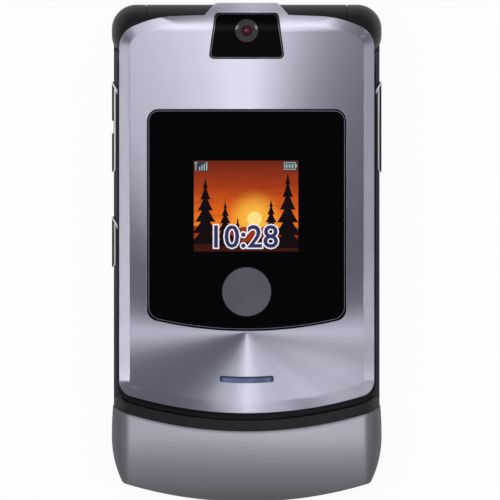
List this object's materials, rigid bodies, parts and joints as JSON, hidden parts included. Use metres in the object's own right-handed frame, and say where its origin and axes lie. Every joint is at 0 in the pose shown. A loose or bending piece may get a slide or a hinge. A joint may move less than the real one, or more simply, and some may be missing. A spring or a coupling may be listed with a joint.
{
  "type": "flip phone",
  "caption": "Clamshell phone with a hinged metal lid, outer screen, camera, side buttons, bulged chin and a keypad under the lid.",
  "frame": {"origin": "middle of the footprint, on the plane that the phone's back rests on", "axes": "+X to the right of the lid's face, +Y from the chin to the hinge, +Z out of the lid's face"},
  "size_m": [0.053, 0.098, 0.0139],
  "materials": {
    "lid_metal": "spun and anodised, silver with a lavender cast",
    "chin_paint": "metallic silver paint",
    "soft_black": "soft-touch black",
    "frame_metal": "dark satin metal paint",
    "cover_metal": "satin anodised",
    "black_window": "hard-coated gloss black",
    "badge_metal": "satin grey",
    "blue_light": "translucent blue",
    "lens_glass": "coated lens, dark red",
    "display": "lit screen",
    "module_black": "moulded black",
    "circuit_board": "green solder mask",
    "dome_film": "amber film",
    "rubber": "matt",
    "steel": "plain steel",
    "battery_wrap": "matt wrap",
    "key_metal": "satin metal",
    "key_sheet": "etched sheet",
    "side_chrome": "polished edge on a dark body",
    "latch_plastic": "moulded black"
  },
  "bodies": {
    "base": {"chin_cover": "chin_paint", "rear_housing": "soft_black", "chin_trim": "soft_black", "base_frame": "frame_metal", "microphone": "module_black", "loudspeaker": "module_black", "antenna": "module_black", "main_board": "circuit_board", "dome_sheet": "dome_film", "flex_cable": "dome_film", "base_screws": "steel", "hinge_cam": "steel", "hinge_spring": "steel", "hinge_pin": "steel", "usb_socket": "steel", "battery": "battery_wrap", "keypad_web": "key_sheet"},
    "lid": {"lid_plate": "lid_metal", "lid_frame": "soft_black", "lid_bezel": "soft_black", "outer_window": "black_window", "outer_display": "display", "camera_window": "black_window", "camera_module": "module_black", "camera_lens": "lens_glass", "light_pipe": "blue_light", "badge": "badge_metal", "main_display": "display", "main_window": "black_window", "earpiece": "module_black", "lid_board": "circuit_board", "lid_bumpers": "rubber", "lid_screws": "steel", "hinge_follower": "steel"},
    "key_1": {"key_1": "key_metal"},
    "key_2": {"key_2": "key_metal"},
    "key_3": {"key_3": "key_metal"},
    "key_4": {"key_4": "key_metal"},
    "key_5": {"key_5": "key_metal"},
    "key_6": {"key_6": "key_metal"},
    "key_7": {"key_7": "key_metal"},
    "key_8": {"key_8": "key_metal"},
    "key_9": {"key_9": "key_metal"},
    "key_star": {"key_star": "key_metal"},
    "key_0": {"key_0": "key_metal"},
    "key_hash": {"key_hash": "key_metal"},
    "left_soft_key": {"left_soft_key": "key_metal"},
    "right_soft_key": {"right_soft_key": "key_metal"},
    "menu_key": {"menu_key": "key_metal"},
    "send_key": {"send_key": "key_metal"},
    "clear_key": {"clear_key": "key_metal"},
    "end_key": {"end_key": "key_metal"},
    "select_key": {"select_key": "key_metal"},
    "nav_actuator": {"nav_actuator": "rubber"},
    "nav_ring": {"nav_ring": "key_metal"},
    "battery_cover": {"battery_cover": "cover_metal"},
    "battery_latch": {"battery_latch": "latch_plastic"},
    "volume_rocker": {"volume_rocker": "side_chrome"},
    "smart_key": {"smart_key": "side_chrome"},
    "voice_key": {"voice_key": "side_chrome"}
  },
  "joints": [
    {"name": "lid_hinge", "type": "hinge", "parent": "base", "child": "lid", "pos_m": [0, 0.0433, 0.0073], "axis": [-1, 0, 0], "range_deg": [0, 160]},
    {"name": "battery_cover_slide", "type": "slide", "parent": "base", "child": "battery_cover", "axis": [0, 1, 0], "range_m": [0, 0.045]},
    {"name": "battery_latch_press", "type": "slide", "parent": "base", "child": "battery_latch", "axis": [0, 0, 1], "range_m": [0, 0.0006], "stiffness_N_per_m": 20},
    {"name": "volume_rocker_tilt", "type": "hinge", "parent": "base", "child": "volume_rocker", "pos_m": [-0.0255, 0.02465, 0.0057], "axis": [0, 0, 1], "range_deg": [-2.5, 2.5], "stiffness_Nm_per_rad": 0.002},
    {"name": "smart_key_press", "type": "slide", "parent": "base", "child": "smart_key", "axis": [1, 0, 0], "range_m": [0, 0.0004], "stiffness_N_per_m": 40},
    {"name": "voice_key_press", "type": "slide", "parent": "base", "child": "voice_key", "axis": [-1, 0, 0], "range_m": [0, 0.0004], "stiffness_N_per_m": 40},
    {"name": "nav_tilt_x", "type": "hinge", "parent": "base", "child": "nav_actuator", "pos_m": [0, 0.0195, 0.0066], "axis": [1, 0, 0], "range_deg": [-1.4, 1.4], "stiffness_Nm_per_rad": 0.001},
    {"name": "nav_tilt_y", "type": "hinge", "parent": "nav_actuator", "child": "nav_ring", "pos_m": [0, 0.0195, 0.0066], "axis": [0, 1, 0], "range_deg": [-1.4, 1.4], "stiffness_Nm_per_rad": 0.001},
    {"name": "key_1_press", "type": "slide", "parent": "base", "child": "key_1", "axis": [0, 0, -1], "range_m": [0, 0.00025], "stiffness_N_per_m": 40},
    {"name": "key_2_press", "type": "slide", "parent": "base", "child": "key_2", "axis": [0, 0, -1], "range_m": [0, 0.00025], "stiffness_N_per_m": 40},
    {"name": "key_3_press", "type": "slide", "parent": "base", "child": "key_3", "axis": [0, 0, -1], "range_m": [0, 0.00025], "stiffness_N_per_m": 40},
    {"name": "key_4_press", "type": "slide", "parent": "base", "child": "key_4", "axis": [0, 0, -1], "range_m": [0, 0.00025], "stiffness_N_per_m": 40},
    {"name": "key_5_press", "type": "slide", "parent": "base", "child": "key_5", "axis": [0, 0, -1], "range_m": [0, 0.00025], "stiffness_N_per_m": 40},
    {"name": "key_6_press", "type": "slide", "parent": "base", "child": "key_6", "axis": [0, 0, -1], "range_m": [0, 0.00025], "stiffness_N_per_m": 40},
    {"name": "key_7_press", "type": "slide", "parent": "base", "child": "key_7", "axis": [0, 0, -1], "range_m": [0, 0.00025], "stiffness_N_per_m": 40},
    {"name": "key_8_press", "type": "slide", "parent": "base", "child": "key_8", "axis": [0, 0, -1], "range_m": [0, 0.00025], "stiffness_N_per_m": 40},
    {"name": "key_9_press", "type": "slide", "parent": "base", "child": "key_9", "axis": [0, 0, -1], "range_m": [0, 0.00025], "stiffness_N_per_m": 40},
    {"name": "key_star_press", "type": "slide", "parent": "base", "child": "key_star", "axis": [0, 0, -1], "range_m": [0, 0.00025], "stiffness_N_per_m": 40},
    {"name": "key_0_press", "type": "slide", "parent": "base", "child": "key_0", "axis": [0, 0, -1], "range_m": [0, 0.00025], "stiffness_N_per_m": 40},
    {"name": "key_hash_press", "type": "slide", "parent": "base", "child": "key_hash", "axis": [0, 0, -1], "range_m": [0, 0.00025], "stiffness_N_per_m": 40},
    {"name": "left_soft_key_press", "type": "slide", "parent": "base", "child": "left_soft_key", "axis": [0, 0, -1], "range_m": [0, 0.00025], "stiffness_N_per_m": 40},
    {"name": "right_soft_key_press", "type": "slide", "parent": "base", "child": "right_soft_key", "axis": [0, 0, -1], "range_m": [0, 0.00025], "stiffness_N_per_m": 40},
    {"name": "menu_key_press", "type": "slide", "parent": "base", "child": "menu_key", "axis": [0, 0, -1], "range_m": [0, 0.00025], "stiffness_N_per_m": 40},
    {"name": "send_key_press", "type": "slide", "parent": "base", "child": "send_key", "axis": [0, 0, -1], "range_m": [0, 0.00025], "stiffness_N_per_m": 40},
    {"name": "clear_key_press", "type": "slide", "parent": "base", "child": "clear_key", "axis": [0, 0, -1], "range_m": [0, 0.00025], "stiffness_N_per_m": 40},
    {"name": "end_key_press", "type": "slide", "parent": "base", "child": "end_key", "axis": [0, 0, -1], "range_m": [0, 0.00025], "stiffness_N_per_m": 40},
    {"name": "select_key_press", "type": "slide", "parent": "base", "child": "select_key", "axis": [0, 0, -1], "range_m": [0, 0.00025], "stiffness_N_per_m": 40}
  ]
}
